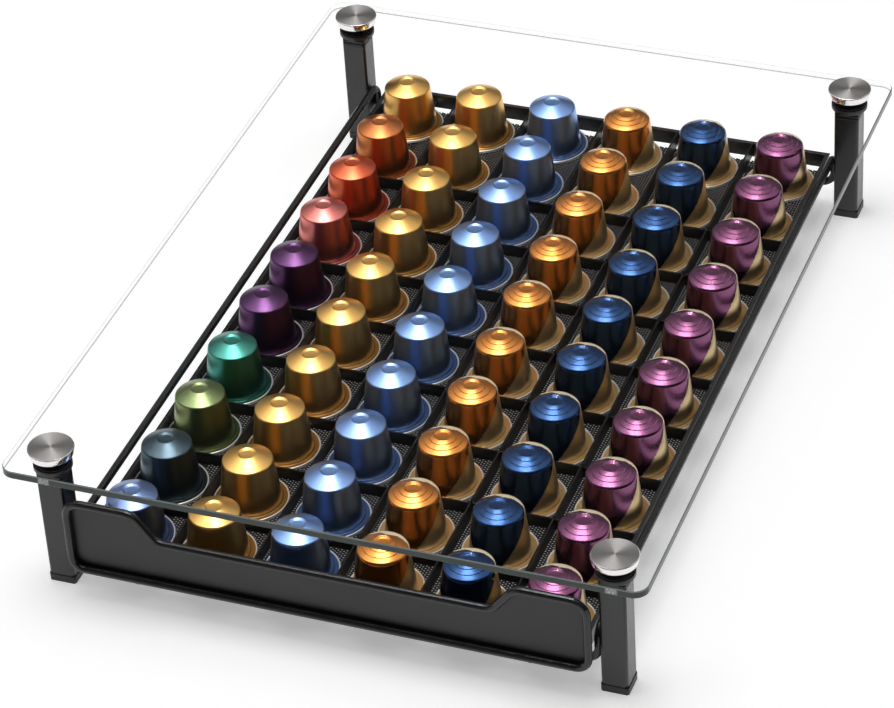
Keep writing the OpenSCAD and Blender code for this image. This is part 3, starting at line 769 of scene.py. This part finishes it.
# Painted glints: bands of the edge beside each front post where its colour is painted pale
painted_glint_spots = []
for corner in ("front_left", "front_right"):
    post_low = Vector(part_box(corner + "_post")[0])
    beside = add(tree, "Math", {0: place.outputs["X"], 1: post_low.x + PAINTED_GLINT_ASIDE},
                 operation="SUBTRACT")
    away = add(tree, "Math", {0: beside.outputs[0]}, operation="ABSOLUTE")
    painted_glint_spots.append(add(tree, "MapRange", {"Value": away.outputs[0], "From Min": PAINTED_GLINT_FULL,
                                        "From Max": PAINTED_GLINT_GONE, "To Min": 1.0, "To Max": 0.0}))
painted_glint_spot = add(tree, "Math", {0: painted_glint_spots[0].outputs[0], 1: painted_glint_spots[1].outputs[0]}, operation="MAXIMUM")
streaks = add(tree, "TexNoise", {"Vector": where.outputs["Object"], "Scale": 1100.0, "Detail": 2.0})
painted_glint_streaks = add(tree, "MapRange", {"Value": streaks.outputs["Fac"], "From Min": 0.35, "From Max": 0.65,
                                "To Min": 0.25, "To Max": 0.95})
painted_glint = add(tree, "Math", {0: painted_glint_spot.outputs[0], 1: painted_glint_streaks.outputs[0]}, operation="MULTIPLY")
tone = add(tree, "MixRGB", {0: painted_glint.outputs[0], 1: green.outputs[0], 2: PAINTED_GLINT})
skin = add(tree, "BsdfPrincipled", {"Base Color": tone.outputs[0], "Roughness": 0.16,
                                    "IOR": GLASS_INDEX})
beyond = add(tree, "BsdfTransparent", {"Color": (0.97, 0.98, 0.975, 1)})
side = add(tree, "NewGeometry")
edge = add(tree, "MixShader", {0: side.outputs["Backfacing"], 1: skin.outputs[0],
                               2: beyond.outputs[0]})
tree.links.new(edge.outputs[0], out.inputs["Surface"])

# The ground bevels are matt, and show as a thin grey line from both sides
ground_bevel, tree, out = blank_material("ground_bevel")
where = add(tree, "TexCoord")
dust = add(tree, "TexNoise", {"Vector": where.outputs["Object"], "Scale": 700.0, "Detail": 2.0})
tone = add(tree, "MixRGB", {0: dust.outputs["Fac"], 1: BEVEL_DARK, 2: BEVEL_PALE})
skin = add(tree, "BsdfPrincipled", {"Base Color": tone.outputs[0], "Roughness": 0.4,
                                    "IOR": GLASS_INDEX})
beyond = add(tree, "BsdfTransparent")
side = add(tree, "NewGeometry")
seen = add(tree, "MapRange", {"Value": side.outputs["Backfacing"], "To Min": 0.0, "To Max": 0.45})
edge = add(tree, "MixShader", {0: seen.outputs[0], 1: skin.outputs[0], 2: beyond.outputs[0]})
tree.links.new(edge.outputs[0], out.inputs["Surface"])

glass = new_piece("glass_plate", plate(), glass_face, glass_edge, ground_bevel)
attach(glass, "stand")
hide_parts("glass_top")

# ---- Studs and washers ------------------------------------------------------------
# Zinc plated studs, threaded from end to end, pass from the plugs through the glass
# into the caps. Soft grey washers above and below keep the steel off the glass.

THREADS = 160.0                      # bands of the thread's relief, as a texture scale

washer_grey = coat("washer_grey", (0.05, 0.05, 0.05), roughness=0.5, peel=1500, depth=0.2)
dress("upper_washers", washer_grey)
dress("lower_washers", washer_grey)
stud_zinc, tree, out = blank_material("stud_zinc")
where = add(tree, "TexCoord")
thread = add(tree, "TexWave", {"Vector": where.outputs["Object"], "Scale": THREADS},
             wave_type="BANDS", bands_direction="Z")
ridges = add(tree, "Bump", {"Strength": 0.8, "Distance": 0.3 * MM, "Height": thread.outputs["Fac"]})
skin = add(tree, "BsdfPrincipled", {"Base Color": (0.5, 0.5, 0.48, 1), "Metallic": 1.0,
                                    "Roughness": 0.35, "Normal": ridges.outputs[0]})
tree.links.new(skin.outputs[0], out.inputs["Surface"])
dress("studs", stud_zinc)

# ---- Caps -------------------------------------------------------------------------
# Solid steel caps, turned to a slight taper and screwed down on the studs. Their tops
# keep the turning marks, as rings of paler and darker steel, and their sides are
# polished.

SIDE_STEEL = (0.86, 0.84, 0.82, 1)
RING_DARK, RING_PALE = (0.34, 0.325, 0.315, 1), (0.64, 0.62, 0.60, 1)
SIDE_ROUGHNESS, TOP_ROUGHNESS = 0.14, 0.58
TOP_STRETCH = 0.92                   # how far the rings draw a highlight out
ACROSS_RINGS = 0.25                  # a quarter turn, from along the rings

spun_steel, tree, out = blank_material("spun_steel")
around = add(tree, "Tangent", direction_type="RADIAL", axis="Z")
where = add(tree, "TexCoord")
middle = add(tree, "VectorMath", {0: where.outputs["Generated"], 1: (0.5, 0.5, 0.0)},
             operation="SUBTRACT")
flat = add(tree, "VectorMath", {0: middle.outputs[0], 1: (1.0, 1.0, 0.0)}, operation="MULTIPLY")
reach = add(tree, "VectorMath", {0: flat.outputs[0]}, operation="LENGTH")
rings = add(tree, "TexNoise", {"W": reach.outputs["Value"], "Scale": 60.0, "Detail": 3.0},
            noise_dimensions="1D")
marks = add(tree, "Bump", {"Strength": 0.5, "Distance": 0.25 * MM, "Height": rings.outputs["Fac"]})
tone = add(tree, "MixRGB", {0: rings.outputs["Fac"], 1: RING_DARK, 2: RING_PALE})
shape = add(tree, "NewGeometry")
facing = add(tree, "SeparateXYZ", {0: shape.outputs["True Normal"]})
on_top = add(tree, "MapRange", {"Value": facing.outputs["Z"], "From Min": 0.75, "From Max": 0.95})
metal = add(tree, "MixRGB", {0: on_top.outputs[0], 1: SIDE_STEEL, 2: tone.outputs[0]})
rough = add(tree, "MapRange", {"Value": on_top.outputs[0], "To Min": SIDE_ROUGHNESS,
                               "To Max": TOP_ROUGHNESS})
drawn = add(tree, "MapRange", {"Value": on_top.outputs[0], "To Min": 0.0, "To Max": TOP_STRETCH})
skin = add(tree, "BsdfPrincipled", {
    "Base Color": metal.outputs[0], "Metallic": 1.0, "Roughness": rough.outputs[0],
    "Anisotropic": drawn.outputs[0], "Anisotropic Rotation": ACROSS_RINGS,
    "Tangent": around.outputs[0], "Normal": marks.outputs[0]})
tree.links.new(skin.outputs[0], out.inputs["Surface"])
for corner in CORNERS:
    dress(corner + "_cap", spun_steel, bevel=0.15)
